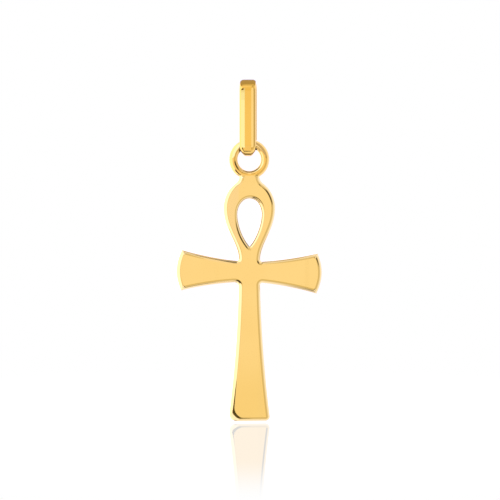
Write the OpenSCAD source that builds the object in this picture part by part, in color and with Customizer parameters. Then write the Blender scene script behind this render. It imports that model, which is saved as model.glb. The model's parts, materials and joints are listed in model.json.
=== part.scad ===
// Ankh pendant on a loose bail, in millimetres, in polished yellow gold.
// X is to the right, Y to the back and Z up. The origin is where the chain carries the bail:
// the middle of the inside of its upper bend.

/* [Bail] */
// Height of the bail over its two bends
bail_height = 7.25; // [6:0.05:9]
// Depth of the bail, from its front leg's face to its back leg's
bail_depth = 2.3; // [2.2:0.05:3]
// Width of the bail's band
bail_width = 1.54; // [1.2:0.02:1.6]
// Thickness of the band at its crown
bail_thickness = 0.37; // [0.34:0.01:0.45]
// Width of the flat stripe along the middle of the band
bail_flat = 0.75; // [0.5:0.01:0.9]
// How far the rounded shoulders fall from the flat stripe to the band's edges
bail_shoulder = 0.24; // [0.14:0.01:0.24]
// Radius of the band's inner edges
bail_edge_r = 0.1; // [0.06:0.01:0.1]
// Turn of the hanging bail against the ankh, clockwise as seen from above, in degrees
bail_turn = 8; // [0:0.5:10]

/* [Ring] */
// Outer diameter of the round ring that hangs in the bail
ring_diameter = 3.8; // [3.6:0.05:4.4]
// Diameter of the ring's wire
wire_diameter = 0.82; // [0.6:0.02:0.86]
// Gap between the ring and the band's inner edges
ring_clearance = 0.05; // [0.02:0.01:0.1]
// How far right of the bail's middle the ring hangs
ring_offset = 0.1; // [0:0.01:0.14]

/* [Head] */
// From the ring's centre down to the head's widest line
ring_to_head = 4.59; // [4.4:0.01:4.8]
// Width of the head
head_width = 4.9; // [4.5:0.05:5.6]
// Height of the head above its widest line
head_rise = 2.77; // [2.6:0.01:2.9]
// Pull of the curve below the widest line, which keeps the head full
head_fullness = 1.97; // [1.4:0.01:2.4]
// Pull of the curve where the head runs into the shaft, which keeps the throat straight
throat_length = 1.41; // [0.9:0.01:1.8]
// Width of the neck between the ring and the head
neck_width = 1.92; // [1.5:0.02:2.2]
// Sideways reach of the solder fillet from the neck onto the head
neck_fillet = 0.35; // [0.15:0.01:0.6]
// Height over which the neck's front and back slope in, up to the middle of the ring's wire
neck_slope = 0.85; // [0.6:0.05:1]

/* [Teardrop hole] */
// From the head's widest line down to the hole's widest line
hole_drop = 0.56; // [0.3:0.01:0.8]
// Width of the hole
hole_width = 2.22; // [1.8:0.02:2.5]
// Height of the hole above its widest line
hole_rise = 1.45; // [1.2:0.01:1.6]
// Length of the hole below its widest line, down to its point
hole_tail = 3; // [2.4:0.05:3.2]
// Pull of the hole's curve below its widest line
hole_fullness = 0.94; // [0.6:0.01:1.3]
// Pull of the hole's curve at its point
hole_point_length = 1; // [0.6:0.01:1.3]
// Half of the angle between the hole's sides at its point
hole_point_angle = 40; // [25:1:45]
// Radius of the hole's edges at the front and the back
hole_edge_r = 0.22; // [0.1:0.01:0.3]

/* [Cross bar] */
// From the head's widest line down to the middle of the cross bar
head_to_bar = 5.97; // [5.6:0.05:6.6]
// From the middle of the bar to the corners of an arm's end
arm_reach = 6.39; // [5:0.05:7.5]
// How far an arm's end bulges past its corners
arm_bulge = 0.48; // [0.2:0.01:0.7]
// Height of an arm where it leaves the shaft
arm_root = 2.04; // [1.8:0.02:2.3]
// Height of an arm between the corners of its end
arm_tip = 3.86; // [3:0.02:4.4]
// Hollow of an arm's long edges, from straight
arm_hollow = 0.11; // [0.02:0.01:0.2]
// Tilt of the cross bar against the shaft, right arm down, in degrees
bar_tilt = 1.65; // [0:0.05:2]

/* [Shaft] */
// Width of the shaft at the cross bar
shaft_width = 2.08; // [1.9:0.02:2.3]
// From the middle of the bar down to the foot
bar_to_foot = 14.1; // [12:0.1:16]
// Width of the foot
foot_width = 4.04; // [3.4:0.02:4.6]
// Hollow of the shaft's long edges, from straight
shaft_hollow = 0.165; // [0.02:0.005:0.25]
// Radius of the foot's left corner
foot_left_r = 0.72; // [0.45:0.01:1]
// Radius of the foot's right corner
foot_right_r = 0.45; // [0.45:0.01:1]
// Radius of the inner corners between arms and shaft
corner_r = 0.16; // [0.08:0.01:0.4]
// Radius of the inner corner under the left arm
lower_left_corner_r = 0.4; // [0.08:0.01:0.5]

/* [Plate] */
// Thickness of the ankh's plate
plate_thickness = 1.2; // [1:0.02:1.3]
// Radius of the plate's front edges
front_edge_r = 0.42; // [0.3:0.01:0.44]
// Radius of the plate's back edges
back_edge_r = 0.2; // [0.1:0.01:0.4]

/* [Hidden] */
$fn = 96;

gold = [0.97, 0.78, 0.4];

// Steps along each kind of curve
arc_steps = 4;
bow_steps = 6;
curve_steps = 12;
oval_steps = 10;
band_steps = 5;
// Steps over the rounded edges of the front, the back and the hole
front_steps = 5;
back_steps = 3;
hole_steps = 3;

bail_bend_r = bail_depth / 2 - bail_thickness;
bail_top_z = -bail_bend_r;
bail_inside_z = -(bail_height - 2 * bail_thickness);
bail_bottom_z = bail_inside_z + bail_bend_r;

ring_r = (ring_diameter - wire_diameter) / 2;
ring_hole_r = ring_r - wire_diameter / 2;
// The ring's hole rests on the rounded inner edge of the band that it leans towards
edge_reach = ring_hole_r - ring_clearance - bail_edge_r;
edge_x = (bail_width / 2 - bail_edge_r) / cos(bail_turn) + ring_offset;
ring_z = bail_inside_z - bail_edge_r - sqrt(edge_reach * edge_reach - edge_x * edge_x);

// The ankh's outline is drawn with the ring's centre as its origin
head_y = -ring_to_head;
hole_y = head_y - hole_drop;
bar_y = head_y - head_to_bar;
foot_y = bar_y - bar_to_foot;
half_neck = neck_width / 2;
half_head = head_width / 2;
half_shaft = shaft_width / 2;
half_foot = foot_width / 2;
// The neck slopes in to just under the wire's faces and is cut off inside the wire
neck_slope_depth = plate_thickness / 2 - 0.97 * wire_diameter / 2;
neck_top_y = -(ring_hole_r + 0.3 * wire_diameter);
uncut_top_y = head_y + head_rise + 0.75;

function unit(v) = v / norm(v);
function cross2(a, b) = a[0] * b[1] - a[1] * b[0];
function turned(p, angle) = [p[0] * cos(angle) - p[1] * sin(angle), p[0] * sin(angle) + p[1] * cos(angle)];

// Points on an ellipse about a centre, from one angle to another
function oval(centre, rx, ry, from, to, steps) =
    [for (i = [0:steps]) let (a = from + (to - from) * i / steps) centre + [rx * cos(a), ry * sin(a)]];

// Points on a cubic curve
function cubic(a, b, c, d, steps) =
    [for (i = [0:steps]) let (t = i / steps, s = 1 - t)
        s * s * s * a + 3 * s * s * t * b + 3 * s * t * t * c + t * t * t * d];

// Points from a to b on a shallow bow that rises to the right of the way from a to b
function bow(a, b, rise, steps) =
    let (across = unit([b[1] - a[1], a[0] - b[0]]))
    [for (i = [0:steps]) let (t = i / steps) a + (b - a) * t + across * rise * 4 * t * (1 - t)];

// Where the line through a along u meets the line through b along v
function meeting(a, u, b, v) = a + u * cross2(b - a, v) / cross2(u, v);

// Points on the arc of radius r that rounds the corner between two directions leaving it
function rounded_corner(corner, u, v, r) =
    let (
        half = acos(u * v) / 2,
        centre = corner + unit(u + v) * r / sin(half),
        start = corner + u * r / tan(half) - centre,
        turn = (cross2(u, v) > 0 ? -1 : 1) * (180 - 2 * half)
    )
    [for (i = [0:arc_steps]) centre + turned(start, turn * i / arc_steps)];

// One side of the ankh, from the middle of the neck's top down to the foot, drawn as the right side.
// tilt turns its arm down; inner_r is the corner under its arm and foot_r its corner at the foot.
function side(tilt, inner_r, foot_r) =
    let (
        landing_angle = acos((half_neck + neck_fillet) / half_head),
        landing = [0, head_y] + [half_head * cos(landing_angle), head_rise * sin(landing_angle)],
        along_head = unit([half_head * sin(landing_angle), -head_rise * cos(landing_angle)]),
        neck_corner = meeting([half_neck, 0], [0, 1], landing, along_head),
        neck_r = norm(landing - neck_corner) * tan(acos([0, 1] * along_head) / 2),
        head_top = oval([0, head_y], half_head, head_rise, landing_angle, 0, oval_steps),
        upper_root = bar_point([half_shaft, arm_root / 2], tilt),
        lower_root = bar_point([half_shaft, -arm_root / 2], tilt),
        upper_tip = bar_point([arm_reach, arm_tip / 2], tilt),
        lower_tip = bar_point([arm_reach, -arm_tip / 2], tilt),
        upper_way = bow_way(upper_root, upper_tip, arm_hollow),
        lower_way = bow_way(lower_root, lower_tip, -arm_hollow),
        upper_corner = meeting([half_shaft, 0], [0, 1], upper_root, upper_way),
        lower_corner = meeting([half_shaft, 0], [0, 1], lower_root, lower_way),
        upper_arc = rounded_corner(upper_corner, [0, 1], upper_way, corner_r),
        lower_arc = rounded_corner(lower_corner, lower_way, [0, -1], inner_r),
        head_side = cubic([half_head, head_y], [half_head, head_y - head_fullness],
            upper_arc[0] + [0, throat_length], upper_arc[0], curve_steps),
        foot_corner = [half_foot, foot_y],
        foot_way = bow_way(foot_corner, lower_arc[arc_steps], -shaft_hollow),
        foot_arc = rounded_corner(foot_corner, foot_way, [-1, 0], foot_r)
    )
    concat(
        [[0, uncut_top_y], [half_neck, uncut_top_y]],
        rounded_corner(neck_corner, [0, 1], along_head, neck_r),
        between(head_top),
        [for (i = [0:curve_steps - 1]) head_side[i]],
        upper_arc,
        between(bow(upper_arc[arc_steps], upper_tip, arm_hollow, bow_steps)),
        bow(upper_tip, lower_tip, -arm_bulge, bow_steps),
        between(bow(lower_tip, lower_arc[0], arm_hollow, bow_steps)),
        lower_arc,
        between(bow(lower_arc[arc_steps], foot_arc[0], shaft_hollow, bow_steps)),
        foot_arc
    );

function mirrored(points) = [for (p = points) [-p[0], p[1]]];
function reversed(points) = [for (i = [len(points) - 1:-1:0]) points[i]];
// All but the first and last of a list of points
function between(points) = [for (i = [1:len(points) - 2]) points[i]];
// A point of the cross bar, given along and across the bar from its middle
function bar_point(p, tilt) = [0, bar_y] + turned(p, -tilt);
// The way in which a bow leaves its first end
function bow_way(a, b, rise) = unit(b - a + unit([b[1] - a[1], a[0] - b[0]]) * rise * 4);

// The ankh's outline, anticlockwise as seen from the front: down the left side and up the right
left_side = mirrored(side(-bar_tilt, lower_left_corner_r, foot_left_r));
right_side = side(bar_tilt, corner_r, foot_right_r);
ankh_outline = concat(left_side, [for (i = [len(right_side) - 1:-1:1]) right_side[i]]);

// Landmarks, counted down either side: the head's top below the neck, throat, top and bottom of the
// arm's root, shaft and foot
head_at = 3 + arc_steps;
throat_at = 2 + arc_steps + oval_steps + curve_steps;
arm_top_at = throat_at + arc_steps;
arm_bottom_at = arm_top_at + 3 * bow_steps;
shaft_at = arm_bottom_at + arc_steps;
foot_at = shaft_at + bow_steps + arc_steps;

// The teardrop hole's outline, anticlockwise as seen from the front, from its top to its point and back
hole_point = [0, hole_y - hole_tail];
hole_side = concat(
    oval([0, hole_y], hole_width / 2, hole_rise, 90, 0, oval_steps),
    between(cubic([hole_width / 2, hole_y], [hole_width / 2, hole_y - hole_fullness],
        hole_point + hole_point_length * [sin(hole_point_angle), cos(hole_point_angle)],
        hole_point, curve_steps)),
    [hole_point]
);
hole_outline = concat(mirrored(hole_side), reversed(between(hole_side)));
hole_point_at = len(hole_side) - 1;

// What each point of an anticlockwise outline moves by when the outline shrinks by one
function shrink_vectors(outline) =
    let (n = len(outline))
    [for (i = [0:n - 1])
        let (
            a = unit(outline[i] - outline[(i + n - 1) % n]),
            b = unit(outline[(i + 1) % n] - outline[i]),
            p = [-a[1], a[0]],
            q = [-b[1], b[0]]
        )
        (p + q) / (1 + p * q)];

// Copies of an outline from front to back. Each row holds how far its copy is shrunk and its depth.
function stacked(outline, rows) =
    let (shrink = shrink_vectors(outline))
    [for (row = rows, i = [0:len(outline) - 1])
        let (p = outline[i] + shrink[i] * row[0]) [p[0], row[1], p[1]]];

// Rows of an edge rounded to radius r at the face of the given depth, from the face to the wall
function edge_rows(r, depth, steps) =
    [for (i = [0:steps]) let (a = 90 - 90 * i / steps)
        [r * (1 - cos(a)), depth - sign(depth) * r * (1 - sin(a))]];

// Faces of the wall through n points a copy, anticlockwise as seen from inside the outline
function wall(first, n, copies) =
    [for (j = [0:copies - 2], i = [0:n - 1])
        let (k = (i + 1) % n, a = first + j * n) [a + i, a + k, a + n + k, a + n + i]];

// How far a point lies round the hole from straight up, in degrees
function bearing(p) = acos((p[1] - hole_y) / norm(p - [0, hole_y]));
// For each point from the head's top to the throat, the hole's last point that lies no further round
hole_match = [for (i = [0:throat_at]) i < head_at ? 0 : i == throat_at ? hole_point_at :
    len([for (k = [1:hole_point_at]) if (bearing(hole_side[k]) <= bearing(left_side[i])) k])];

// Faces of the plate's front or back, anticlockwise as seen from the front.
// outer and hole are the first points of the outlines' copies there, and middle is the bar's middle.
function pierced_face(outer, hole, middle) =
    let (
        n = len(ankh_outline),
        m = len(hole_outline),
        left = function(i) outer + i,
        right = function(i) outer + (n - i) % n,
        hole_left = function(k) hole + k,
        hole_right = function(k) hole + (m - k) % m,
        star = concat([hole_left(hole_point_at)],
            [for (i = [throat_at:arm_top_at]) left(i)], [for (i = [arm_bottom_at:shaft_at]) left(i)],
            [for (i = [shaft_at:-1:arm_bottom_at]) right(i)], [for (i = [arm_top_at:-1:throat_at]) right(i)])
    )
    concat(
        [[left(0), left(1), left(2), right(2), right(1)]],
        [for (i = [2:head_at - 1]) [left(i), left(i + 1), right(i + 1), right(i)]],
        [[left(head_at), hole, right(head_at)]],
        [for (i = [head_at:throat_at - 1]) [left(i), left(i + 1), hole_left(hole_match[i])]],
        [for (i = [head_at:throat_at - 1]) [right(i + 1), right(i), hole_right(hole_match[i])]],
        [for (i = [head_at:throat_at]) for (k = [hole_match[i - 1]:1:hole_match[i] - 1])
            [left(i), hole_left(k + 1), hole_left(k)]],
        [for (i = [head_at:throat_at]) for (k = [hole_match[i - 1]:1:hole_match[i] - 1])
            [right(i), hole_right(k), hole_right(k + 1)]],
        [for (i = [0:len(star) - 1]) [middle, star[i], star[(i + 1) % len(star)]]],
        [for (k = [0:3 * bow_steps / 2 - 1]) arm_face(left(arm_top_at + k), left(arm_top_at + k + 1),
            left(arm_bottom_at - k - 1), left(arm_bottom_at - k))],
        [for (k = [0:3 * bow_steps / 2 - 1]) arm_face(right(arm_bottom_at - k), right(arm_bottom_at - k - 1),
            right(arm_top_at + k + 1), right(arm_top_at + k))],
        [for (i = [shaft_at:foot_at - 1]) [left(i), left(i + 1), right(i + 1), right(i)]]
    );
// A piece of an arm's face, which ends in a triangle at the tip
function arm_face(a, b, c, d) = b == c ? [a, b, d] : [a, b, c, d];

// The band's section: distance outwards from the loop's inside, and place across the band
function shoulder(side) =
    let (reach = bail_width / 2 - bail_flat / 2)
    [for (i = [0:band_steps]) let (a = 90 - 90 * i / band_steps)
        [bail_thickness - bail_shoulder * (1 - sin(a)), side * (bail_flat / 2 + reach * cos(a))]];
function inner_edge(side) =
    [for (i = [0:band_steps]) let (a = 90 * i / band_steps)
        [bail_edge_r * (1 - sin(a)), side * (bail_width / 2 - bail_edge_r * (1 - cos(a)))]];
band_section = concat(shoulder(1), inner_edge(1), reversed(inner_edge(-1)), reversed(shoulder(-1)));

module bail_bend(z, start) {
    translate([0, 0, z])
        rotate([0, 90, 0])
            rotate_extrude(angle = 180, start = start)
                polygon([for (p = band_section) [bail_bend_r + p[0], p[1]]]);
}

module bail_leg(side) {
    translate([0, 0, bail_bottom_z])
        linear_extrude(bail_top_z - bail_bottom_z)
            polygon([for (p = band_section) [p[1], side * (bail_bend_r + p[0])]]);
}

// Elongated loop of crowned band, which the chain runs through
module bail() {
    color(gold)
        rotate([0, 0, -bail_turn]) {
            bail_bend(bail_top_z, 90);
            bail_bend(bail_bottom_z, -90);
            bail_leg(-1);
            bail_leg(1);
        }
}

module ring() {
    rotate([90, 0, 0])
        rotate_extrude()
            translate([ring_r, 0])
                circle(d = wire_diameter);
}

module plate() {
    face = plate_thickness / 2;
    rows = concat(edge_rows(front_edge_r, -face, front_steps),
        reversed(edge_rows(back_edge_r, face, back_steps)));
    hole_rows = [for (row = concat(edge_rows(hole_edge_r, -face, hole_steps),
        reversed(edge_rows(hole_edge_r, face, hole_steps)))) [-row[0], row[1]]];
    n = len(ankh_outline);
    m = len(hole_outline);
    hole_first = n * len(rows);
    middle = hole_first + m * len(hole_rows);
    points = concat(stacked(ankh_outline, rows), stacked(hole_outline, hole_rows),
        [[0, -face, bar_y], [0, face, bar_y]]);
    walls = wall(0, n, len(rows));
    hole_walls = [for (f = wall(hole_first, m, len(hole_rows))) reversed(f)];
    front = [for (f = pierced_face(0, hole_first, middle)) reversed(f)];
    back = pierced_face(hole_first - n, middle - m, middle + 1);
    polyhedron(points = points, faces = concat(walls, hole_walls, front, back));
}

// Shapes that slope the neck's front and back in to the ring's wire and cut the neck off inside it
module neck_cuts() {
    outside = 0.1;
    rise = neck_slope / neck_slope_depth;
    top = 0.5 * neck_slope - ring_r;
    wedge = [
        [plate_thickness / 2 + outside, -ring_r - neck_slope - outside * rise],
        [plate_thickness / 2 - 1.5 * neck_slope_depth, top],
        [plate_thickness / 2 + outside, top]
    ];
    for (side = [-1, 1])
        rotate([90, 0, 90])
            linear_extrude(head_width, center = true)
                polygon([for (p = wedge) [side * p[0], p[1]]]);
    translate([-half_head, -plate_thickness, neck_top_y])
        cube([head_width, 2 * plate_thickness, 2]);
}

// Flat ankh with rounded edges, with the ring soldered to its head
module ankh() {
    color(gold)
        translate([ring_offset, 0, ring_z]) {
            ring();
            difference() {
                plate();
                neck_cuts();
            }
        }
}

bail();
ankh();
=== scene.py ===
"""Ankh pendant of polished yellow gold, hanging by its soldered ring in a loose bail.

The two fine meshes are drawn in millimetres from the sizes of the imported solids, which they replace:
the bail by Geometry Nodes that sweep the band's section round its loop, and the ankh as a plate with
rounded edges that is joined to its ring with a soft solder seam. Points of flat outlines are complex
numbers, with the real part to the right and the imaginary part up, and the ring's centre as origin.
"""

import json
import logging
import math
from cmath import rect
from collections.abc import Iterator
from contextlib import contextmanager
from dataclasses import dataclass, field
from enum import Enum
from functools import cache

import bmesh
import bpy
import numpy as np
from bpy.types import Material, Mesh, Node, NodeSocket, NodeTree, Object
from mathutils import Matrix, Vector
from mathutils.geometry import tessellate_polygon
from mathutils.kdtree import KDTree


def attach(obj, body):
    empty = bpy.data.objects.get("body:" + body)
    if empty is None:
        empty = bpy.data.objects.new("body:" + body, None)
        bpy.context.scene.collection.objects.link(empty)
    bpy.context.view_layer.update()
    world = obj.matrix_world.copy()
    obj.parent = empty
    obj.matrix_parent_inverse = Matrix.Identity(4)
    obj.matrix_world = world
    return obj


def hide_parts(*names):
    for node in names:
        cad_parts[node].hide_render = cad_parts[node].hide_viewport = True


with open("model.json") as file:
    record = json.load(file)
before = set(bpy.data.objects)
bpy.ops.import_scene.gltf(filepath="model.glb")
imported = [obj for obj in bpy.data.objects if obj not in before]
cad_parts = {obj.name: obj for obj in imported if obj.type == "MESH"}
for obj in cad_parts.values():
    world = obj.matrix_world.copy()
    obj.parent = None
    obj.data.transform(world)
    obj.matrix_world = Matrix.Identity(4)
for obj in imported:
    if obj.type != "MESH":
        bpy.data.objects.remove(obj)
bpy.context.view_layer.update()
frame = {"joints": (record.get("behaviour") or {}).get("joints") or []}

log = logging.getLogger("ankh_pendant")

Triple = tuple[float, float, float]
Pair = tuple[float, float]
Outline = list[complex]

MM = 0.001
WHITE = (1.0, 1.0, 1.0, 1.0)


class Body(Enum):
    """The bodies that the pieces ride on."""

    BAIL = "bail"
    PENDANT = "pendant"


class Slot(Enum):
    """The record's material slots."""

    GOLD = "gold"


# Node trees


class Signal:
    """A number in a node tree, worked out by the tree's own Math nodes."""

    def __init__(self, tree: NodeTree, socket: NodeSocket) -> None:
        """Wraps an output socket of the tree."""
        self.tree = tree
        self.socket = socket

    def feed(self, target: NodeSocket) -> None:
        """Links this number to an input socket."""
        self.tree.links.new(self.socket, target)

    def math(self, operation: str, *others: "Signal | float") -> "Signal":
        """Works out one Math node.

        Args:
            operation: the node's operation, by its Blender name.
            others: the operation's other numbers.

        Returns:
            The node's result.
        """
        node = self.tree.nodes.new("ShaderNodeMath")
        node.operation = operation
        for value, target in zip((self, *others), node.inputs):
            if isinstance(value, Signal):
                value.feed(target)
            else:
                target.default_value = value
        return Signal(self.tree, node.outputs[0])

    def __add__(self, other: "Signal | float") -> "Signal":
        """Adds a number."""
        return self.math("ADD", other)

    def __sub__(self, other: "Signal | float") -> "Signal":
        """Takes a number away."""
        return self.math("SUBTRACT", other)

    def __mul__(self, other: "Signal | float") -> "Signal":
        """Multiplies by a number."""
        return self.math("MULTIPLY", other)

    def __truediv__(self, other: "Signal | float") -> "Signal":
        """Divides by a number."""
        return self.math("DIVIDE", other)

    def mapped(self, low: float, high: float, start: float = 0.0, end: float = 1.0) -> "Signal":
        """Passes smoothly from one number to another.

        Args:
            low: where the passage starts.
            high: where it ends.
            start: the result before it.
            end: the result after it.

        Returns:
            The result.
        """
        node = self.tree.nodes.new("ShaderNodeMapRange")
        node.interpolation_type = "SMOOTHSTEP"
        self.feed(node.inputs[0])
        for target, value in zip(node.inputs[1:5], (low, high, start, end)):
            target.default_value = value
        return Signal(self.tree, node.outputs[0])

    def window(self, low: float, high: float, soft: float) -> "Signal":
        """Returns 1 between two numbers and 0 outside, with soft borders of this width inside them."""
        return self.mapped(low, low + soft) * self.mapped(high, high - soft)


def add_node(tree: NodeTree, kind: str, group: NodeTree | None = None, **inputs: object) -> Node:
    """Adds a node and sets its inputs.

    Args:
        tree: the tree it goes into.
        kind: the node's type name.
        group: the group that a group's node shows.
        inputs: a Signal, socket or constant for each named input, with _ for a space.

    Returns:
        The node.
    """
    node = tree.nodes.new(kind)
    if group:
        node.node_tree = group
    for name, value in inputs.items():
        target = node.inputs[name.replace("_", " ")]
        if isinstance(value, Signal):
            value.feed(target)
        elif isinstance(value, NodeSocket):
            tree.links.new(value, target)
        else:
            target.default_value = value
    return node


def output_of(tree: NodeTree, kind: str, name: str) -> Signal:
    """Adds a node and returns its output of this name."""
    return Signal(tree, tree.nodes.new(kind).outputs[name])


def split(tree: NodeTree, kind: str, name: str) -> list[Signal]:
    """Adds a node and returns the X, Y and Z of its output of this name."""
    parts = add_node(tree, "ShaderNodeSeparateXYZ", Vector=output_of(tree, kind, name))
    return [Signal(tree, part) for part in parts.outputs]


def moved(tree: NodeTree, geometry: NodeSocket, **place: Signal) -> NodeSocket:
    """Returns the geometry with each of its points at this X, Y and Z."""
    spot = add_node(tree, "ShaderNodeCombineXYZ", **place).outputs[0]
    return add_node(tree, "GeometryNodeSetPosition", Geometry=geometry, Position=spot).outputs[0]


def group_tree(name: str, kind: str, inputs: dict[str, float],
               outputs: dict[str, str]) -> tuple[NodeTree, dict[str, Signal], Node]:
    """Starts a node group with named float inputs.

    Args:
        name: the group's name.
        kind: the tree's type name.
        inputs: each input's name and default.
        outputs: each output's name and socket type.

    Returns:
        The tree, a Signal for each input and the output node.
    """
    tree = bpy.data.node_groups.new(name, kind)
    for label, default in inputs.items():
        socket = tree.interface.new_socket(label, in_out="INPUT", socket_type="NodeSocketFloat")
        socket.default_value = default
    for label, socket_type in outputs.items():
        tree.interface.new_socket(label, in_out="OUTPUT", socket_type=socket_type)
    source = tree.nodes.new("NodeGroupInput")
    signals = {label: Signal(tree, source.outputs[label]) for label in inputs}
    return tree, signals, tree.nodes.new("NodeGroupOutput")


def empty_material(name: str) -> Material:
    """Returns a new material without nodes."""
    made = bpy.data.materials.new(name)
    made.use_nodes = True
    made.node_tree.nodes.clear()
    return made


def show_mix(tree: NodeTree, kind: str, share: Signal, first: Node, second: Node) -> None:
    """Shows a mix of two shaders.

    Args:
        tree: the tree of a material or a world.
        kind: the type name of its output node.
        share: the share of the second shader.
        first: the first shader's node.
        second: the second one's.
    """
    mixed = add_node(tree, "ShaderNodeMixShader", Fac=share)
    tree.links.new(first.outputs[0], mixed.inputs[1])
    tree.links.new(second.outputs[0], mixed.inputs[2])
    out = tree.nodes.new(kind)
    tree.links.new(mixed.outputs[0], out.inputs["Surface"])


# Finishes


def surface_noise(tree: NodeTree, scale: Signal, detail: float, **turn: Triple) -> Signal:
    """Reads noise on a surface.

    Args:
        tree: a shader tree.
        scale: the noise's scale.
        detail: its detail.
        turn: the Rotation and Scale of its place, where it isn't the plain one.

    Returns:
        The noise.
    """
    place = output_of(tree, "ShaderNodeTexCoord", "Object")
    if turn:
        place = add_node(tree, "ShaderNodeMapping", Vector=place, **turn).outputs[0]
    noise = add_node(tree, "ShaderNodeTexNoise", Vector=place, Scale=scale, Detail=detail)
    return Signal(tree, noise.outputs["Fac"])


@cache
def polish_group() -> NodeTree:
    """Builds the marks of polishing: faint waves in the surface and hair-fine lines in all directions.

    Returns:
        A shader group with a Mask of the lines and a Height for Bump.
    """
    tree, size, result = group_tree(
        "polishing marks", "ShaderNodeTree",
        {"Wave Scale": 260.0, "Line Scale": 900.0, "Line Depth": 0.02},
        {"Mask": "NodeSocketFloat", "Height": "NodeSocketFloat"},
    )
    mask = None
    for turn in (0.5, 1.9, -0.8):
        rotation = (0.3 * turn, turn, -0.4 * turn)
        lines = surface_noise(tree, size["Line Scale"], 2.0, Rotation=rotation, Scale=(1.0, 1.0, 0.03))
        line = lines.mapped(0.64, 0.72)
        mask = line if mask is None else mask.math("MAXIMUM", line)
    mask.feed(result.inputs["Mask"])
    waves = surface_noise(tree, size["Wave Scale"], 1.0)
    (waves - 0.5 - mask * size["Line Depth"]).feed(result.inputs["Height"])
    return tree


@cache
def wear_group() -> NodeTree:
    """Builds the wear of edges, which rubbing on skin and cloth keeps brightest.

    Returns:
        A shader group with a Mask that is 1 on worn edges.
    """
    tree, size, result = group_tree(
        "edge wear", "ShaderNodeTree", {"Patch Scale": 700.0, "Patchiness": 0.4}, {"Mask": "NodeSocketFloat"}
    )
    edge = output_of(tree, "ShaderNodeNewGeometry", "Pointiness").mapped(0.5, 0.56)
    patches = surface_noise(tree, size["Patch Scale"], 2.0)
    kept = (patches.mapped(0.4, 0.6) - 1.0) * size["Patchiness"] + 1.0
    (edge * kept).feed(result.inputs["Mask"])
    return tree


@cache
def patch_group() -> NodeTree:
    """Builds the slow change of the gold's colour, which is a little deeper in wide patches.

    Returns:
        A shader group with a Mask that is 1 in the deeper patches.
    """
    tree, size, result = group_tree(
        "deeper patches", "ShaderNodeTree", {"Patch Scale": 190.0}, {"Mask": "NodeSocketFloat"}
    )
    surface_noise(tree, size["Patch Scale"], 2.0).mapped(0.35, 0.65).feed(result.inputs["Mask"])
    return tree


@dataclass(frozen=True)
class PolishedGold:
    """Mirror-polished yellow gold, with the faint marks that polishing and wear leave, and painted shade
    where it mirrors metal close by.

    Attributes:
        name: the material's name.
        colour: the metal's reflectance.
        deep_colour: its reflectance in the deeper patches.
        painted_shade_colour: painted shade, a darker and greyer colour that the metal takes where it is
            mirrored in metal close by.
        close_by: the distances, in metres, at which that painted shade starts and is whole.
        off_floor: the heights between which it sets in, so that the floor mirrors the foot unchanged.
        patch_scale: how small the deeper patches are.
        roughness: the blur of its reflections between marks.
        mark_roughness: the blur that is added in the polishing lines.
        line_scale: how fine those lines are.
        wear_share: the share of the roughness that rubbing takes off the edges.
        patchiness: how unevenly it does so.
        wave_scale: how short the waves in the surface are.
        wave_height: their height, in metres.
    """

    name: str
    colour: Triple = (0.99, 0.645, 0.172)
    deep_colour: Triple = (0.98, 0.63, 0.162)
    painted_shade_colour: Triple = (0.35, 0.33, 0.28)
    close_by: Pair = (0.006, 0.003)
    off_floor: Pair = (-0.0285, -0.0275)
    patch_scale: float = 190.0
    roughness: float = 0.07
    mark_roughness: float = 0.05
    line_scale: float = 900.0
    wear_share: float = 0.3
    patchiness: float = 0.4
    wave_scale: float = 260.0
    wave_height: float = 0.0000022

    @cache
    def material(self) -> Material:
        """Returns the material, which is built once."""
        made = bpy.data.materials.new(self.name)
        made.use_nodes = True
        tree = made.node_tree
        shader = tree.nodes["Principled BSDF"]
        shader.inputs["Metallic"].default_value = 1.0
        marks = add_node(
            tree, "ShaderNodeGroup", polish_group(), Wave_Scale=self.wave_scale, Line_Scale=self.line_scale
        )
        wear = add_node(tree, "ShaderNodeGroup", wear_group(), Patchiness=self.patchiness)
        patches = add_node(tree, "ShaderNodeGroup", patch_group(), Patch_Scale=self.patch_scale)
        height = split(tree, "ShaderNodeTexCoord", "Object")[2]
        # Painted shade: where a glossy ray meets this metal close by and above the floor, the colour turns
        # darker and greyer, so metal mirrored in metal looks shaded
        inner = output_of(tree, "ShaderNodeLightPath", "Ray Length").mapped(*self.close_by)
        inner = inner * height.mapped(*self.off_floor)
        inner = inner * output_of(tree, "ShaderNodeLightPath", "Is Glossy Ray")
        shown = (*self.colour, 1.0)
        for share, other in (
            (Signal(tree, patches.outputs["Mask"]), self.deep_colour),
            (inner, self.painted_shade_colour),
        ):
            tint = add_node(tree, "ShaderNodeMix", Factor=share)
            tint.data_type = "RGBA"
            colours = [target for target in tint.inputs if target.type == "RGBA"]
            if isinstance(shown, tuple):
                colours[0].default_value = shown
            else:
                tree.links.new(shown, colours[0])
            colours[1].default_value = (*other, 1.0)
            shown = [output for output in tint.outputs if output.type == "RGBA"][0]
        tree.links.new(shown, shader.inputs["Base Color"])
        blur = Signal(tree, marks.outputs["Mask"]) * self.mark_roughness
        blur = blur - Signal(tree, wear.outputs["Mask"]) * (self.wear_share * self.roughness) + self.roughness
        blur.feed(shader.inputs["Roughness"])
        bump = add_node(tree, "ShaderNodeBump", Height=marks.outputs["Height"], Distance=self.wave_height)
        tree.links.new(bump.outputs["Normal"], shader.inputs["Normal"])
        return made


# Curves of flat outlines


def unit(way: complex) -> complex:
    """Returns the way with length 1."""
    return way / abs(way)


def dot(a: complex, b: complex) -> float:
    """Returns the dot product."""
    return (a.conjugate() * b).real


def cross(a: complex, b: complex) -> float:
    """Returns the cross product."""
    return (a.conjugate() * b).imag


def straight(a: complex, b: complex, steps: int) -> Outline:
    """Returns points from a to b on a straight line."""
    return [a + (b - a) * i / steps for i in range(steps + 1)]


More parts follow.
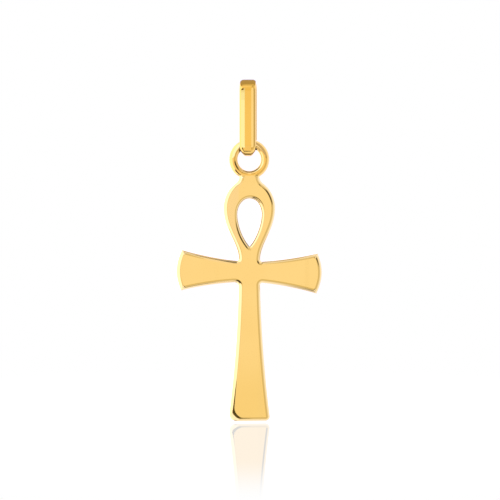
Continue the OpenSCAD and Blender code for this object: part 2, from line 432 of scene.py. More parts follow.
def oval(centre: complex, rx: float, ry: float, start: float, end: float, steps: int) -> Outline:
    """Returns points on an ellipse of these half axes, from one angle to another in radians."""
    angles = [start + (end - start) * i / steps for i in range(steps + 1)]
    return [centre + complex(rx * math.cos(a), ry * math.sin(a)) for a in angles]


def cubic(a: complex, b: complex, c: complex, d: complex, steps: int) -> Outline:
    """Returns points on the cubic curve of four points."""
    parts = [i / steps for i in range(steps + 1)]
    return [(1 - t) ** 3 * a + 3 * (1 - t) ** 2 * t * b + 3 * (1 - t) * t * t * c + t ** 3 * d for t in parts]


def bow(a: complex, b: complex, rise: float, steps: int) -> Outline:
    """Returns points from a to b on a shallow bow that rises to the right of the way from a to b."""
    across = -1j * unit(b - a) * rise * 4
    return [a + (b - a) * t + across * t * (1 - t) for t in (i / steps for i in range(steps + 1))]


def bow_way(a: complex, b: complex, rise: float) -> complex:
    """Returns the way in which a bow leaves its first end."""
    return unit(b - a - 1j * unit(b - a) * rise * 4)


def meeting(a: complex, u: complex, b: complex, v: complex) -> complex:
    """Returns where the line through a along u meets the line through b along v."""
    return a + u * cross(b - a, v) / cross(u, v)


def rounded_corner(corner: complex, u: complex, v: complex, r: float, steps: int) -> Outline:
    """Rounds a corner.

    Args:
        corner: the sharp corner.
        u: the way that leaves it against the outline's course.
        v: the way that leaves it along the course.
        r: the radius.
        steps: the number of steps.

    Returns:
        The points of the arc.
    """
    half = math.acos(dot(u, v)) / 2
    centre = corner + unit(u + v) * r / math.sin(half)
    start = corner + u * r / math.tan(half) - centre
    turn = (-1 if cross(u, v) > 0 else 1) * (math.pi - 2 * half)
    return [centre + start * rect(1, turn * i / steps) for i in range(steps + 1)]


def shrink_ways(outline: Outline) -> Outline:
    """Returns what each point of an anticlockwise outline moves by when the outline shrinks by one."""
    ways = []
    for i, point in enumerate(outline):
        p = 1j * unit(point - outline[i - 1])
        q = 1j * unit(outline[(i + 1) % len(outline)] - point)
        ways.append((p + q) / (1 + dot(p, q)))
    return ways


def edge_rows(r: float, depth: float, steps: int) -> list[Pair]:
    """Rows of an edge that is rounded at a face, from just inside the face to the wall.

    Args:
        r: the edge's radius.
        depth: the depth of the face.
        steps: the steps over the edge.

    Returns:
        How far each row is shrunk, and its depth.
    """
    rim = 0.012
    side = math.copysign(1, depth)
    rows = [(r + rim, depth)]
    for i in range(steps + 1):
        angle = math.pi / 2 * (1 - i / steps)
        rows.append((r * (1 - math.cos(angle)), depth - side * r * (1 - math.sin(angle))))
    return rows


# Meshes


def new_object(name: str, data: Mesh | bpy.types.Camera) -> Object:
    """Returns an object with this mesh or camera, linked to the scene."""
    made = bpy.data.objects.new(name, data)
    bpy.context.scene.collection.objects.link(made)
    return made


@contextmanager
def opened(mesh: Mesh) -> Iterator[bmesh.types.BMesh]:
    """Opens a mesh for editing and writes it back at the end."""
    shape = bmesh.new()
    shape.from_mesh(mesh)
    yield shape
    shape.to_mesh(mesh)
    shape.free()


def evaluated(made: Object, name: str) -> Mesh:
    """Returns the mesh that the object's modifiers leave, under this name."""
    mesh = bpy.data.meshes.new_from_object(made.evaluated_get(bpy.context.evaluated_depsgraph_get()))
    mesh.name = name
    return mesh


def solid(name: str, points: list[Vector], faces: list[tuple[int, ...]]) -> Object:
    """Makes a closed object whose faces point outwards.

    Args:
        name: the object's name.
        points: its points.
        faces: its faces, turned either way.

    Returns:
        The object.
    """
    mesh = bpy.data.meshes.new(name)
    mesh.from_pydata(points, [], faces)
    with opened(mesh) as shape:
        bmesh.ops.recalc_face_normals(shape, faces=shape.faces)
    return new_object(name, mesh)


def finished(made: Object, body: Body, node: str) -> None:
    """Lets a piece ride on its body and stand for its solid.

    Args:
        made: the piece.
        body: the body that it moves with.
        node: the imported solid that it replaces.
    """
    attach(made, body.value)
    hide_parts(node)
    log.info("%s: %d faces on %s", made.name, len(made.data.polygons), body.value)


def nearest(points: list[Vector]) -> KDTree:
    """Returns a tree that finds the nearest of these points."""
    tree = KDTree(len(points))
    for i, point in enumerate(points):
        tree.insert(point, i)
    tree.balance()
    return tree


def seam_points(mesh: Mesh, before: list[Vector]) -> list[Vector]:
    """Returns the points that a union has added to the points before it, which lie on its seam."""
    tree, same = nearest(before), 0.0001
    return [vertex.co.copy() for vertex in mesh.vertices if tree.find(vertex.co)[2] > same]


def soften(mesh: Mesh, seam: list[Vector], reach: float, rounds: int) -> None:
    """Melts the sharp seam between two joined shapes, as solder does.

    Args:
        mesh: the joined shapes.
        seam: the points of their seam.
        reach: how far from the seam the metal has flowed.
        rounds: how often the points are evened out.
    """
    tree = nearest(seam)
    places = np.array([vertex.co for vertex in mesh.vertices])
    far = np.array([tree.find(vertex.co)[2] for vertex in mesh.vertices])
    share = np.clip(1 - far / reach, 0, 1)[:, None] ** 0.5 * 0.5
    ends = np.array([edge.vertices for edge in mesh.edges])
    ends = np.concatenate([ends, ends[:, ::-1]])
    ends = ends[share[ends[:, 0], 0] > 0]
    count = np.bincount(ends[:, 0], minlength=len(places))[:, None].clip(1)
    for _ in range(rounds):
        total = np.zeros_like(places)
        np.add.at(total, ends[:, 0], places[ends[:, 1]])
        places += np.where(share > 0, total / count - places, 0) * share
    mesh.vertices.foreach_set("co", places.ravel())


# Sub-assemblies


@dataclass
class Bail:
    """Closed loop of crowned band that the chain runs through, in millimetres.

    Attributes:
        height: its height over the two bends.
        depth: its depth from face to face of its legs.
        width: the band's width.
        thickness: the band's thickness at its crown.
        flat: the width of the flat stripe along the band.
        shoulder: how far the shoulders fall from the stripe to the edges.
        edge_r: the radius of the band's inner edges.
        lower_end: the share of the width that is left at the lowest point of the lower bend.
        lower_curve: how fast the width grows from there, less being faster.
        turn: its turn against the ankh, clockwise from above, in degrees.
        bend_steps: the points along each bend.
        corner_steps: the points round each corner of the section.
        finish: its metal, a deeper and more orange gold than the ankh's that paints in shade.
    """

    height: float = 7.25
    depth: float = 2.3
    width: float = 1.54
    thickness: float = 0.37
    flat: float = 0.75
    shoulder: float = 0.24
    edge_r: float = 0.1
    lower_end: float = 0.5
    lower_curve: float = 0.8
    turn: float = 8.0
    bend_steps: int = 64
    corner_steps: int = 16
    # Painted shade: the bail's gold is deeper and more orange than the ankh's, standing in for the dimmer
    # light on the bail
    finish: PolishedGold = PolishedGold(
        "polished gold of the bail", (0.94, 0.53, 0.08), (0.92, 0.51, 0.074)
    )

    @property
    def sizes(self) -> dict[str, float]:
        """The sizes that the tree takes, by the names of its inputs."""
        return {
            "Bend Radius": self.depth / 2 - self.thickness, "Straight": self.height - self.depth,
            "Width": self.width, "Thickness": self.thickness, "Flat": self.flat, "Shoulder": self.shoulder,
            "Edge Radius": self.edge_r, "Lower End": self.lower_end, "Lower Curve": self.lower_curve,
        }

    @staticmethod
    def drawn_loop(tree: NodeTree, count: int, x: Signal, y: Signal) -> NodeSocket:
        """Draws a closed line in the tree.

        Args:
            tree: the Geometry Nodes tree.
            count: the number of points.
            x: the first coordinate, as a field on the point's index.
            y: the second coordinate.

        Returns:
            The curve.
        """
        line = tree.nodes.new("GeometryNodeCurvePrimitiveLine")
        points = add_node(tree, "GeometryNodeResampleCurve", Curve=line.outputs["Curve"], Count=count)
        drawn = moved(tree, points.outputs["Curve"], X=x, Y=y)
        closed = add_node(tree, "GeometryNodeSetSplineCyclic", Geometry=drawn, Cyclic=True)
        return closed.outputs["Geometry"]

    def tree(self) -> NodeTree:
        """Builds the tree that sweeps the band's section round its loop.

        Returns:
            A Geometry Nodes tree with named inputs for the sizes.
        """
        tree, size, result = group_tree(
            "band loop", "GeometryNodeTree", self.sizes, {"Mesh": "NodeSocketGeometry"}
        )
        index = output_of(tree, "GeometryNodeInputIndex", "Index")

        # The loop: one bend over the other, each a half circle of points
        half = index.math("LESS_THAN", self.bend_steps) * -1.0 + 1.0
        step = index - half * self.bend_steps
        angle = (step / (self.bend_steps - 1) + half) * math.pi
        rise = (half * -2.0 + 1.0) * size["Straight"] * 0.5
        loop_x = angle.math("COSINE") * size["Bend Radius"]
        loop_y = angle.math("SINE") * size["Bend Radius"] + rise
        loop = self.drawn_loop(tree, 2 * self.bend_steps, loop_x, loop_y)

        # The section: two wide outer shoulders and two small inner edges, each a quarter of an ellipse
        corner = (index / self.corner_steps).math("FLOOR")
        step = index - corner * self.corner_steps
        angle = (step / (self.corner_steps - 1) + corner) * (math.pi / 2)
        outer = corner.math("LESS_THAN", 2.0)
        right = corner.math("COMPARE", 1.5, 1.0) * -2.0 + 1.0
        inner = outer * -1.0 + 1.0
        half_width = size["Width"] * 0.5
        reach = outer * (half_width - size["Flat"] * 0.5) + inner * size["Edge Radius"]
        fall = outer * size["Shoulder"] + inner * size["Edge Radius"]
        foot = outer * (size["Thickness"] - size["Shoulder"]) + inner * size["Edge Radius"]
        across = angle.math("COSINE") * reach + right * (half_width - reach)
        out = angle.math("SINE") * fall + foot
        section = self.drawn_loop(tree, 4 * self.corner_steps, out, across)
        swept = tree.nodes.new("GeometryNodeCurveToMesh")
        tree.links.new(loop, swept.inputs[0])
        tree.links.new(section, swept.inputs["Profile Curve"])

        # The lower bend narrows from the band's whole width to its lower end
        depth, level, width = split(tree, "GeometryNodeInputPosition", "Position")
        bend = size["Bend Radius"] + size["Thickness"]
        rise = ((level + size["Straight"] * 0.5) / bend + 1.0).math("MAXIMUM", 0.0).math("MINIMUM", 1.0)
        kept = (rise * (math.pi / 2)).math("SINE").math("POWER", size["Lower Curve"])
        kept = kept - kept * size["Lower End"] + size["Lower End"]
        made = moved(tree, swept.outputs[0], X=depth, Y=level, Z=width * kept)
        for kind, settings in (
            ("GeometryNodeSetShadeSmooth", {}),
            ("GeometryNodeRealizeInstances", {}),
            ("GeometryNodeSetMaterial", {"Material": self.finish.material()}),
        ):
            made = add_node(tree, kind, Geometry=made, **settings).outputs[0]
        tree.links.new(made, result.inputs["Mesh"])
        return tree

    def build(self) -> Object:
        """Builds the bail.

        Returns:
            Its object.
        """
        seed = new_object("bail_seed", bpy.data.meshes.new("bail_seed"))
        modifier = seed.modifiers.new("band loop", "NODES")
        modifier.node_group = self.tree()
        for item in modifier.node_group.interface.items_tree:
            if item.in_out == "INPUT":
                modifier[item.identifier] = self.sizes[item.name]
        mesh = evaluated(seed, "bail_loop")
        bpy.data.objects.remove(seed)
        # The tree draws the loop's depth along X, its height along Y and the band's width along Z
        drop = self.height / 2 - self.thickness
        upright = Matrix(((0, 0, 1, 0), (1, 0, 0, 0), (0, 1, 0, -drop), (0, 0, 0, 1)))
        turned = Matrix.Rotation(math.radians(-self.turn), 4, "Z")
        mesh.transform(Matrix.Scale(MM, 4) @ turned @ upright)
        made = new_object("bail_loop", mesh)
        finished(made, Body.BAIL, "bail")
        return made


# Steps along the parts of the plate's outlines
NECK_STEPS, HEAD_STEPS, ROOT_STEPS, EDGE_STEPS, TIP_STEPS = 14, 48, 10, 24, 32
SHAFT_STEPS, FOOT_CORNER_STEPS, SOLE_STEPS = 48, 16, 8
HOLE_TOP_STEPS, HOLE_SIDE_STEPS = 36, 40


@dataclass
class AnkhShape:
    """Outlines of the ankh's plate, in millimetres from the ring's centre.

    Attributes:
        uncut_top: the height to which the neck is drawn before it is cut off.
        head_y: the height of the head's widest line.
        head_width: its width.
        head_rise: the head's height above that line.
        head_fullness: the pull of the curve below it.
        throat_length: the pull of the curve where the head runs into the shaft.
        neck_width: the width of the neck.
        neck_fillet: the sideways reach of the neck's fillet.
        hole_drop: from the head's widest line to the hole's.
        hole_width: the hole's width.
        hole_rise: its height above its widest line.
        hole_tail: its length below that line.
        hole_fullness: the pull of its curve below that line.
        hole_point_length: the pull of its curve at its point.
        hole_point_angle: half of the angle at its point, in degrees.
        border_fullness: the pull below that line of the border of the front face round the hole.
        border_lean: how far that border leans to the right over the point.
        head_to_bar: from the head's widest line to the middle of the cross bar.
        arm_reach: from the bar's middle to the corners of an arm's end.
        arm_bulge: how far an arm's end bulges past its corners.
        arm_root: the height of an arm at the shaft.
        arm_tip: its height at its end.
        arm_hollow: the hollow of its long edges.
        bar_tilt: the bar's tilt, right arm down, in degrees.
        shaft_width: the shaft's width at the bar.
        bar_to_foot: from the bar's middle to the foot.
        foot_width: the foot's width.
        shaft_hollow: the hollow of the shaft's edges.
        foot_left_r: the radius of the foot's left corner.
        foot_right_r: the radius of its right corner.
        corner_r: the radius of the corners between arms and shaft.
        lower_left_corner_r: the radius of the one under the left arm.
    """

    uncut_top: float = -1.07
    head_y: float = -4.59
    head_width: float = 4.9
    head_rise: float = 2.77
    head_fullness: float = 1.97
    throat_length: float = 1.41
    neck_width: float = 1.92
    neck_fillet: float = 0.35
    hole_drop: float = 0.56
    hole_width: float = 2.22
    hole_rise: float = 1.45
    hole_tail: float = 3.0
    hole_fullness: float = 0.94
    hole_point_length: float = 1.0
    hole_point_angle: float = 40.0
    border_fullness: float = 1.3
    border_lean: float = 0.06
    head_to_bar: float = 5.97
    arm_reach: float = 6.39
    arm_bulge: float = 0.48
    arm_root: float = 2.04
    arm_tip: float = 3.86
    arm_hollow: float = 0.11
    bar_tilt: float = 1.65
    shaft_width: float = 2.08
    bar_to_foot: float = 14.1
    foot_width: float = 4.04
    shaft_hollow: float = 0.165
    foot_left_r: float = 0.72
    foot_right_r: float = 0.45
    corner_r: float = 0.16
    lower_left_corner_r: float = 0.4

    def side(self, tilt: float, inner_r: float, foot_r: float) -> Outline:
        """Draws one side, as the right side, from the middle of the neck's top to the middle of the foot.

        Args:
            tilt: how far its arm is turned down, in degrees.
            inner_r: the radius of the corner under its arm.
            foot_r: the radius of its corner at the foot.

        Returns:
            The points.
        """
        half_neck, half_head, half_shaft = self.neck_width / 2, self.head_width / 2, self.shaft_width / 2
        head, bar = complex(0, self.head_y), complex(0, self.head_y - self.head_to_bar)
        up, down = 1j, -1j
        angle = math.acos((half_neck + self.neck_fillet) / half_head)
        landing = head + complex(half_head * math.cos(angle), self.head_rise * math.sin(angle))
        along = unit(complex(half_head * math.sin(angle), -self.head_rise * math.cos(angle)))
        neck_corner = meeting(complex(half_neck), up, landing, along)
        neck_r = abs(landing - neck_corner) * math.tan(math.acos(dot(up, along)) / 2)
        neck_arc = rounded_corner(neck_corner, up, along, neck_r, NECK_STEPS)
        turned = rect(1, math.radians(-tilt))
        upper_root, lower_root, upper_tip, lower_tip = (
            bar + complex(x, y / 2) * turned
            for x, y in ((half_shaft, self.arm_root), (half_shaft, -self.arm_root),
                         (self.arm_reach, self.arm_tip), (self.arm_reach, -self.arm_tip))
        )
        upper_way = bow_way(upper_root, upper_tip, self.arm_hollow)
        lower_way = bow_way(lower_root, lower_tip, -self.arm_hollow)
        wall = complex(half_shaft)
        upper_corner = meeting(wall, up, upper_root, upper_way)
        lower_corner = meeting(wall, up, lower_root, lower_way)
        upper_arc = rounded_corner(upper_corner, up, upper_way, self.corner_r, ROOT_STEPS)
        lower_arc = rounded_corner(lower_corner, lower_way, down, inner_r, ROOT_STEPS)
        head_side = cubic(
            head + half_head, head + complex(half_head, -self.head_fullness),
            upper_arc[0] + self.throat_length * up, upper_arc[0], HEAD_STEPS,
        )
        foot = bar - 1j * self.bar_to_foot
        foot_corner = foot + self.foot_width / 2
        foot_way = bow_way(foot_corner, lower_arc[-1], -self.shaft_hollow)
        foot_arc = rounded_corner(foot_corner, foot_way, -1 + 0j, foot_r, FOOT_CORNER_STEPS)
        return [
            complex(0, self.uncut_top),
            complex(half_neck, self.uncut_top),
            *neck_arc[:-1],
            *oval(head, half_head, self.head_rise, angle, 0, HEAD_STEPS)[:-1],
            *head_side[:-1],
            *upper_arc[:-1],
            *bow(upper_arc[-1], upper_tip, self.arm_hollow, EDGE_STEPS)[:-1],
            *bow(upper_tip, lower_tip, -self.arm_bulge, TIP_STEPS)[:-1],
            *bow(lower_tip, lower_arc[0], self.arm_hollow, EDGE_STEPS)[:-1],
            *lower_arc[:-1],
            *bow(lower_arc[-1], foot_arc[0], self.shaft_hollow, SHAFT_STEPS)[:-1],
            *foot_arc[:-1],
            *straight(foot_arc[-1], foot, SOLE_STEPS),
        ]

    def outline(self, foot_left_r: float) -> Outline:
        """Draws the plate's outline, anticlockwise from the front.

        Args:
            foot_left_r: the radius of the foot's left corner.

        Returns:
            The points.
        """
        left = [-p.conjugate() for p in self.side(-self.bar_tilt, self.lower_left_corner_r, foot_left_r)]
        right = self.side(self.bar_tilt, self.corner_r, self.foot_right_r)
        return left + right[-2:0:-1]

    def hole(self, fullness: float, lean: float) -> Outline:
        """Draws the teardrop hole, anticlockwise from the front.

        Args:
            fullness: the pull of its curve below its widest line.
            lean: how far it leans to the right over its point.

        Returns:
            The points.
        """
        centre = complex(0, self.head_y - self.hole_drop)
        half = self.hole_width / 2
        point = centre - 1j * self.hole_tail
        angle = math.radians(90 - self.hole_point_angle)
        right = oval(centre, half, self.hole_rise, math.pi / 2, 0, HOLE_TOP_STEPS)[:-1] + cubic(
            centre + half, centre + complex(half, -fullness),
            point + rect(self.hole_point_length, angle), point, HOLE_SIDE_STEPS,
        )
        outline = [-p.conjugate() for p in right] + right[-2:0:-1]
        return [p + lean * min(1.0, (p - point).imag / self.hole_tail) for p in outline]


@dataclass
class Ankh:
    """The ankh's plate and the ring soldered to its neck, in millimetres.

    Attributes:
        shape: the plate's outlines.
        thickness: the plate's thickness.
        front_edge_r: the radius of its front edges.
        back_edge_r: the radius of its back edges.
        hole_edge_r: the radius of the hole's back edge.
        hole_front_r: the radius of its front edge, which polishing has worn rounder.
        ring_r: the radius of the ring's centre line.
        wire: the diameter of its wire.
        neck_slope: the height over which the neck's faces slope in, up to the middle of the wire.
        neck_share: the neck's thickness there, as a share of the wire's.
        cut_share: how far over the middle of the wire the neck is cut off, as a share of the wire.
        solder_reach: how far the solder has flowed from the seam.
        solder_rounds: how often the points near the seam are evened out.
        front_foot_r: the radius of the foot's left corner that the border of the front face follows.
        centre: the ring's centre, in metres.
        finish: its metal.
        wire_finish: the ring's metal.
    """

    shape: AnkhShape = field(default_factory=AnkhShape)
    thickness: float = 1.2
    front_edge_r: float = 0.42
    back_edge_r: float = 0.2
    hole_edge_r: float = 0.22
    hole_front_r: float = 0.36
    ring_r: float = 1.49
    wire: float = 0.82
    neck_slope: float = 0.85
    neck_share: float = 0.97
    cut_share: float = 0.2
    solder_reach: float = 0.24
    solder_rounds: int = 30
    front_foot_r: float = 1.28
    centre: Vector = field(default_factory=lambda: Vector(frame["joints"][0]["pos_m"]))
    finish: PolishedGold = PolishedGold("polished gold of the ankh")
    wire_finish: PolishedGold = PolishedGold(
        "polished gold of the ring", (1.0, 0.58, 0.112), (0.985, 0.555, 0.1)
    )

    def rows(self, front_r: float, back_r: float) -> list[Pair]:
        """Lists the rows of points over a wall and its two rounded edges.

        Args:
            front_r: the radius of the front edge.
            back_r: the radius of the back edge.

        Returns:
            How far each row is shrunk, and its depth.
        """
        front_steps, wall_steps, back_steps = 12, 7, 8
        face = self.thickness / 2
        front = edge_rows(front_r, -face, front_steps)
        back = edge_rows(back_r, face, back_steps)[::-1]
        start, end = front[-1][1], back[0][1]
        wall = [(0.0, start + (end - start) * i / wall_steps) for i in range(1, wall_steps)]
        return front + wall + back

    def plate(self) -> Object:
        """Returns the pierced plate, lofted over its edges."""
        points: list[Vector] = []
        faces: list[tuple[int, ...]] = []
        faces_of: list[list[int]] = [[], []]
        outer, border = (self.shape.outline(r) for r in (self.shape.foot_left_r, self.front_foot_r))
        hole = self.shape.hole(self.shape.hole_fullness, 0.0)
        hole_border = self.shape.hole(self.shape.border_fullness, self.shape.border_lean)
        for outline, front, rows, sign in (
            (outer, border, self.rows(self.front_edge_r, self.back_edge_r), 1),
            (hole, hole_border, self.rows(self.hole_front_r, self.hole_edge_r), -1),
        ):
            ways, front_ways = shrink_ways(outline), shrink_ways(front)
            first, n = len(points), len(outline)
            for inset, depth in rows:
                share = inset / rows[0][0] if depth < 0 else 0.0
                for p, way, q, front_way in zip(outline, ways, front, front_ways):
                    spot = (p + way * inset * sign) * (1 - share) + (q + front_way * inset * sign) * share
                    points.append(Vector((spot.real, depth, spot.imag)))
            for j in range(len(rows) - 1):
                a = first + j * n
                faces += [(a + i, a + (i + 1) % n, a + n + (i + 1) % n, a + n + i) for i in range(n)]
            faces_of[0].append([first + i for i in range(n)])
            faces_of[1].append([first + (len(rows) - 1) * n + i for i in range(n)])
        for rims in faces_of:
            joined = rims[0] + rims[1]
            cap = tessellate_polygon([[points[i] for i in rim] for rim in rims])
            faces += [tuple(joined[i] for i in triangle) for triangle in cap]
        return self.sloped(solid("ankh_plate", points, faces))

    def sloped(self, plate: Object) -> Object:
        """Slopes the neck's faces in to the ring's wire and cuts the neck off inside it.

        Args:
            plate: the plate.

        Returns:
            The same plate.
        """
        start = -self.ring_r - self.neck_slope
        top = -self.ring_r + self.cut_share * self.wire
        levels, lanes, same = 16, 14, 0.00001
        drop = 1 - self.neck_share * self.wire / self.thickness
        with opened(plate.data) as shape:
            for i in range(levels + 1):
                bmesh.ops.bisect_plane(
                    shape, geom=[*shape.verts, *shape.edges, *shape.faces], plane_no=(0, 0, 1),
                    plane_co=(0, 0, start + (top - start) * i / levels), clear_outer=i == levels, dist=same,
                )
            bmesh.ops.holes_fill(shape, edges=[edge for edge in shape.edges if edge.is_boundary])
            for i in range(1, lanes):
                faces = [face for face in shape.faces if min(v.co.z for v in face.verts) > start - same]
                neck = {item for face in faces for item in (face, *face.edges, *face.verts)}
                bmesh.ops.bisect_plane(
                    shape, geom=list(neck), plane_no=(1, 0, 0),
                    plane_co=(self.shape.neck_width * (i / lanes - 0.5), 0, 0), dist=same,
                )
            for vertex in shape.verts:
                t = max(0.0, (vertex.co.z - start) / self.neck_slope)
                vertex.co.y *= 1 - drop * t * t * (1.5 - 0.5 * t)
            bmesh.ops.recalc_face_normals(shape, faces=shape.faces)
        return plate

    def ring(self) -> Object:
        """Returns the ring of round wire."""
        around, across = 288, 64
        points = []
        for i in range(around):
            for j in range(across):
                reach = rect(self.wire / 2, math.tau * j / across)
                spot = rect(self.ring_r + reach.real, math.tau * i / around)
                points.append(Vector((spot.real, reach.imag, spot.imag)))
        corners = ((0, 0), (1, 0), (1, 1), (0, 1))
        faces = [
            tuple((i + a) % around * across + (j + b) % across for a, b in corners)
            for i in range(around) for j in range(across)
        ]
        return solid("ankh_ring", points, faces)

    def build(self) -> Object:
        """Builds plate and ring, solders them and puts them in place.

        Returns:
            Their object.
        """
        plate, ring = self.plate(), self.ring()
        before = [vertex.co.copy() for piece in (plate, ring) for vertex in piece.data.vertices]
        union = plate.modifiers.new("solder", "BOOLEAN")
        union.operation, union.solver, union.object = "UNION", "EXACT", ring
        mesh = evaluated(plate, "ankh_body")
        for piece in (plate, ring):
            bpy.data.objects.remove(piece)
        with opened(mesh) as shape:
            bmesh.ops.dissolve_degenerate(shape, dist=0.0001, edges=shape.edges)
            bmesh.ops.triangulate(shape, faces=[face for face in shape.faces if len(face.verts) > 4])
        soften(mesh, seam_points(mesh, before), self.solder_reach, self.solder_rounds)
        mesh.materials.clear()
        for finish in (self.finish, self.wire_finish):
            mesh.materials.append(finish.material())
        wire_reach = self.wire / 2 + 0.01
        for face in mesh.polygons:
            place = face.center
            off_line = math.hypot(math.hypot(place.x, place.z) - self.ring_r, place.y)
            face.material_index = int(off_line < wire_reach)
            face.use_smooth = True
        mesh.transform(Matrix.Translation(self.centre) @ Matrix.Scale(MM, 4))
        made = new_object("ankh_body", mesh)
        finished(made, Body.PENDANT, "ankh")
        return made


# Studio


@dataclass(frozen=True)
class Card:
    """Card that shines into the metal before its face and shows nowhere else, in millimetres.

    Attributes:
        name: its name.
        colour: what it shines with.
        points: its points.
        faces: its faces.
    """

    name: str
    colour: Triple
    points: tuple[Triple, ...]
    faces: tuple[tuple[int, ...], ...] = ((0, 1, 2, 3),)

    @classmethod
    def sheet(cls, name: str, x: Pair, y: Pair, z: Pair, colour: Triple) -> "Card":
        """Lays out an oblong card, upright if its depths are the same and level if its heights are."""
        corners = ((x[0], y[0], z[0]), (x[0], y[1], z[1]), (x[1], y[1], z[1]), (x[1], y[0], z[0]))
        return cls(name, colour, corners)

    @classmethod
    def arc(cls, name: str, middle: complex, turns: tuple[float, ...],
            radii: tuple[tuple[float, ...], tuple[float, ...]], y: float, colour: Triple) -> "Card":
        """Lays out an upright card in the form of an arc.

        Args:
            name: its name.
            middle: the middle of the arc.
            turns: where its radii are given, in degrees from the right.
            radii: its inner and its outer radii there.
            y: its depth.
            colour: what it shines with.

        Returns:
            The card.
        """
        fine = np.linspace(turns[0], turns[-1], 41)
        rims = (middle + rect(r, math.radians(turn)) for rim in radii
                for r, turn in zip(np.interp(fine, turns, rim), fine))
        n = len(fine)
        faces = tuple((i, i + 1, n + 1 + i, n + i) for i in range(n - 1))
        return cls(name, colour, tuple((p.real, y, p.imag) for p in rims), faces)

    def hang(self) -> None:
        """Hangs the card up, hidden from the camera and from the floor's mirror."""
        mesh = bpy.data.meshes.new(self.name)
        mesh.from_pydata(self.points, [], self.faces)
        mesh.transform(Matrix.Scale(MM, 4))
        made = new_object(self.name, mesh)
        made.visible_camera = made.visible_diffuse = made.visible_shadow = False
        material = empty_material(self.name)
        tree = material.node_tree
        shine = add_node(tree, "ShaderNodeEmission", Color=(*self.colour, 1.0), Strength=1.0)
        back = output_of(tree, "ShaderNodeNewGeometry", "Backfacing")
        by_mirror = output_of(tree, "ShaderNodeLightPath", "Is Singular Ray")
        clear = tree.nodes.new("ShaderNodeBsdfTransparent")
        show_mix(tree, "ShaderNodeOutputMaterial", back.math("MAXIMUM", by_mirror), shine, clear)
        mesh.materials.append(material)


def bail_cards() -> list[Card]:
    """Lays out the cards that the bail mirrors.

    Returns:
        The cards.
    """
    ahead, top = (-2.6, -2.6), 0.6
    left, spot, spot_z = (-4.0, -0.75), (-2.8, -0.9), (-0.2, top)
    right, far_right, right_z = (-0.05, 1.08), (1.08, 4.0), (-6.75, top)
    beside_spot = (0.86, 1.1, 2.6)
    return [
        Card.sheet("flag over the bail", (-4.0, 4.0), (-1.6, 6.0), (2.5, 2.5), (0.5, 0.5, 0.64)),
        Card.sheet("front of the flag", (-4.0, 4.0), (-2.6, -1.6), (2.5, 2.5), (0.74, 0.76, 0.95)),
        Card.sheet("fill under the bail", (-3.2, -0.5), (-6.0, -6.0), (-16.0, -6.5), (1.0, 1.05, 1.6)),
        Card.sheet("left of the bail", left, ahead, (-6.9, -1.5), (1.1, 1.68, 4.6)),
        Card.sheet("left of the bail higher up", left, ahead, (-1.5, -0.8), (1.05, 1.54, 4.15)),
        Card.sheet("left of the bail at its top", left, ahead, (-0.8, spot_z[0]), (0.98, 1.35, 3.4)),
        Card.sheet("left of the dark spot", (left[0], spot[0]), ahead, spot_z, beside_spot),
        Card.sheet("dark spot", spot, ahead, spot_z, (0.22, 0.2, 0.1)),
        Card.sheet("right of the dark spot", (spot[1], left[1]), ahead, spot_z, beside_spot),
        Card.sheet("right of the bail", right, ahead, right_z, (1.08, 1.28, 2.8)),
        Card.sheet("far right of the bail", far_right, ahead, right_z, (0.6, 0.65, 1.15)),
    ]


def foot_cards() -> list[Card]:
    """Lays out the cards that the rounded front edge round the foot's left corner mirrors.

    Returns:
        The cards.
    """
    foot = complex(0.07, -31.18)
    turns = (148, 165, 180, 200, 215, 225, 235, 245, 255, 268, 280)
    dark = (
        (5.2, 3.4, 2.2, 1.4, 1.3, 1.3, 1.3, 1.6, 2.4, 4.0, 5.6),
        (5.2, 6.4, 7.4, 6.2, 4.6, 4.2, 4.4, 4.8, 5.4, 6.0, 5.6),
    )
    soft = (
        (4.4, 2.6, 1.6, 1.15, 1.1, 1.1, 1.1, 1.3, 1.6, 2.6, 4.6),
        (6.0, 8.2, 9.0, 7.6, 5.6, 5.2, 5.6, 6.2, 6.8, 7.4, 6.8),
    )
    fill = ((2.0, 2.0), (32.0, 32.0))
    return [
        Card.arc("crescent by the foot", foot, turns, dark, -8.5, (0.09, 0.09, 0.07)),
        Card.arc("soft border of the crescent", foot, turns, soft, -8.65, (0.38, 0.4, 0.42)),
        Card.arc("fill by the foot", foot, (190, 262), fill, -8.8, (1.2, 1.4, 2.9)),
    ]


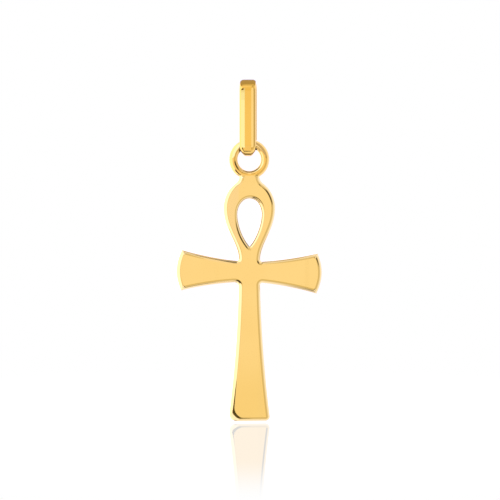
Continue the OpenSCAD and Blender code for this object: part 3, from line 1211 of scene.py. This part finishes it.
@dataclass
class Studio:
    """Pale floor, soft light all round and the camera.

    Attributes:
        middle: the point in the middle of the picture, in millimetres.
        picture_width: what the picture's width covers there.
        azimuth: the camera's turn about the upright, in degrees.
        elevation: its height over the level, in degrees.
        lens: its focal length.
        sensor: its sensor's width.
        floor_half: half of the floor's width, in metres.
        floor_z: the height of the floor, in millimetres.
        floor_gloss: how much the floor mirrors under the pendant.
        gloss_reach: how far from there its mirroring fades out.
    """

    middle: Vector = field(default_factory=lambda: Vector((0.17, 0.0, -15.64)))
    picture_width: float = 47.0
    azimuth: float = -5.0
    elevation: float = 2.5
    lens: float = 200.0
    sensor: float = 36.0
    floor_half: float = 1.0
    floor_z: float = -31.87
    floor_gloss: float = 0.33
    gloss_reach: float = 56.0

    def camera(self) -> None:
        """Sets up the camera."""
        data = bpy.data.cameras.new("camera")
        data.lens, data.sensor_width = self.lens, self.sensor
        data.clip_start, data.clip_end = MM, 10.0
        turn, rise = math.radians(self.azimuth), math.radians(self.elevation)
        way = Vector((math.sin(turn) * math.cos(rise), -math.cos(turn) * math.cos(rise), math.sin(rise)))
        distance = self.picture_width * self.lens / self.sensor
        made = new_object("camera", data)
        made.location = (self.middle + way * distance) * MM
        made.rotation_euler = way.to_track_quat("Z", "Y").to_euler()
        bpy.context.scene.camera = made

    def floor(self) -> None:
        """Lays the floor, which is white and mirrors faintly near the pendant."""
        half = self.floor_half
        mesh = bpy.data.meshes.new("floor")
        corners = [(-half, -half, 0), (half, -half, 0), (half, half, 0), (-half, half, 0)]
        mesh.from_pydata(corners, [], [(0, 1, 2, 3)])
        made = new_object("floor", mesh)
        made.location = (0, 0, self.floor_z * MM)
        made.visible_glossy = made.visible_diffuse = False
        material = empty_material("white glossy floor")
        tree = material.node_tree
        x, y, _ = split(tree, "ShaderNodeTexCoord", "Object")
        away = (x * x + y * y).math("SQRT")
        gloss = away.mapped(0.5 * self.gloss_reach * MM, self.gloss_reach * MM, self.floor_gloss, 0.0)
        white = add_node(tree, "ShaderNodeEmission", Color=WHITE, Strength=1.0)
        mirror = add_node(tree, "ShaderNodeBsdfGlossy", Color=WHITE, Roughness=0.0)
        show_mix(tree, "ShaderNodeOutputMaterial", gloss, white, mirror)
        mesh.materials.append(material)

    def light(self) -> None:
        """Surrounds the pendant with soft light that shows white behind it."""
        world = bpy.data.worlds.new("studio")
        bpy.context.scene.world = world
        world.use_nodes = True
        tree = world.node_tree
        tree.nodes.clear()

        # Ways are unit vectors, x to the right, y to the back and z up, and bearings turn round y
        x, y, z = split(tree, "ShaderNodeTexCoord", "Generated")
        off_axis = (x * x + z * z).math("SQRT")
        bearing = z.math("ARCTAN2", x)

        # A pale panel ahead with two upright wings, a bright side on the left and a cool tent behind
        ahead = x.window(-0.33, 0.21, 0.07) * z.window(-0.24, 0.2, 0.08)
        right_wing = x.window(0.02, 0.16, 0.04) * z.window(-0.1, 0.8, 0.12) * y.mapped(0.2, 0.0)
        left_wing = x.window(-0.34, -0.09, 0.04) * z.window(-0.1, 0.95, 0.12) * y.mapped(0.2, 0.0)
        panel = ahead.math("MAXIMUM", right_wing)
        left = x.mapped(-0.36, -0.55)
        tent = y.mapped(-0.95, 0.0)

        # Dark gaps between them draw the dark lines along the metal's edges
        gaps = (
            (bearing.window(0.02, 0.64, 0.1) * off_axis.mapped(0.15, 0.25) * y.mapped(-0.58, -0.76), 0.85),
            (bearing.window(-2.5, -1.62, 0.13) * off_axis.mapped(0.14, 0.22) * y.mapped(-0.25, -0.45), 0.88),
            (bearing.window(-2.0, -1.6, 0.1) * off_axis.mapped(0.8, 0.95), 0.35),
            (x.window(0.1, 0.32, 0.03) * z.mapped(0.66, 0.8) * y.mapped(0.0, -0.1), 0.8),
        )
        shade = None
        for gap, darkness in gaps:
            left_over = gap * -darkness + 1.0
            shade = left_over if shade is None else shade * left_over

        plain = (panel.math("MAXIMUM", left_wing) * 0.25 + left * 0.38 + tent * 0.08 + 0.72) * shade
        upper_cool = panel * z.mapped(-0.108, -0.07) * 0.17
        cool = left.math("MAXIMUM", tent).math("MAXIMUM", upper_cool) * shade
        colour = add_node(
            tree, "ShaderNodeCombineColor",
            Red=plain + cool * 0.3, Green=plain + cool * 0.5, Blue=plain * 1.08 + cool * 1.95,
        )
        soft = add_node(tree, "ShaderNodeBackground", Color=colour.outputs[0], Strength=1.0)
        white = add_node(tree, "ShaderNodeBackground", Color=WHITE, Strength=1.0)
        to_camera = output_of(tree, "ShaderNodeLightPath", "Is Camera Ray")
        show_mix(tree, "ShaderNodeOutputWorld", to_camera, soft, white)

    def build(self) -> None:
        """Sets up camera, floor, cards and light."""
        self.camera()
        self.floor()
        for card in bail_cards() + foot_cards():
            card.hang()
        self.light()
        view = bpy.context.scene.view_settings
        view.view_transform, view.look = "Standard", "None"
        log.info("studio ready")


def main() -> None:
    """Builds the studio and the two pieces."""
    logging.basicConfig(level=logging.INFO, format="%(name)s: %(message)s")
    Studio().build()
    Bail().build()
    Ankh().build()


if __name__ == "__main__":
    main()
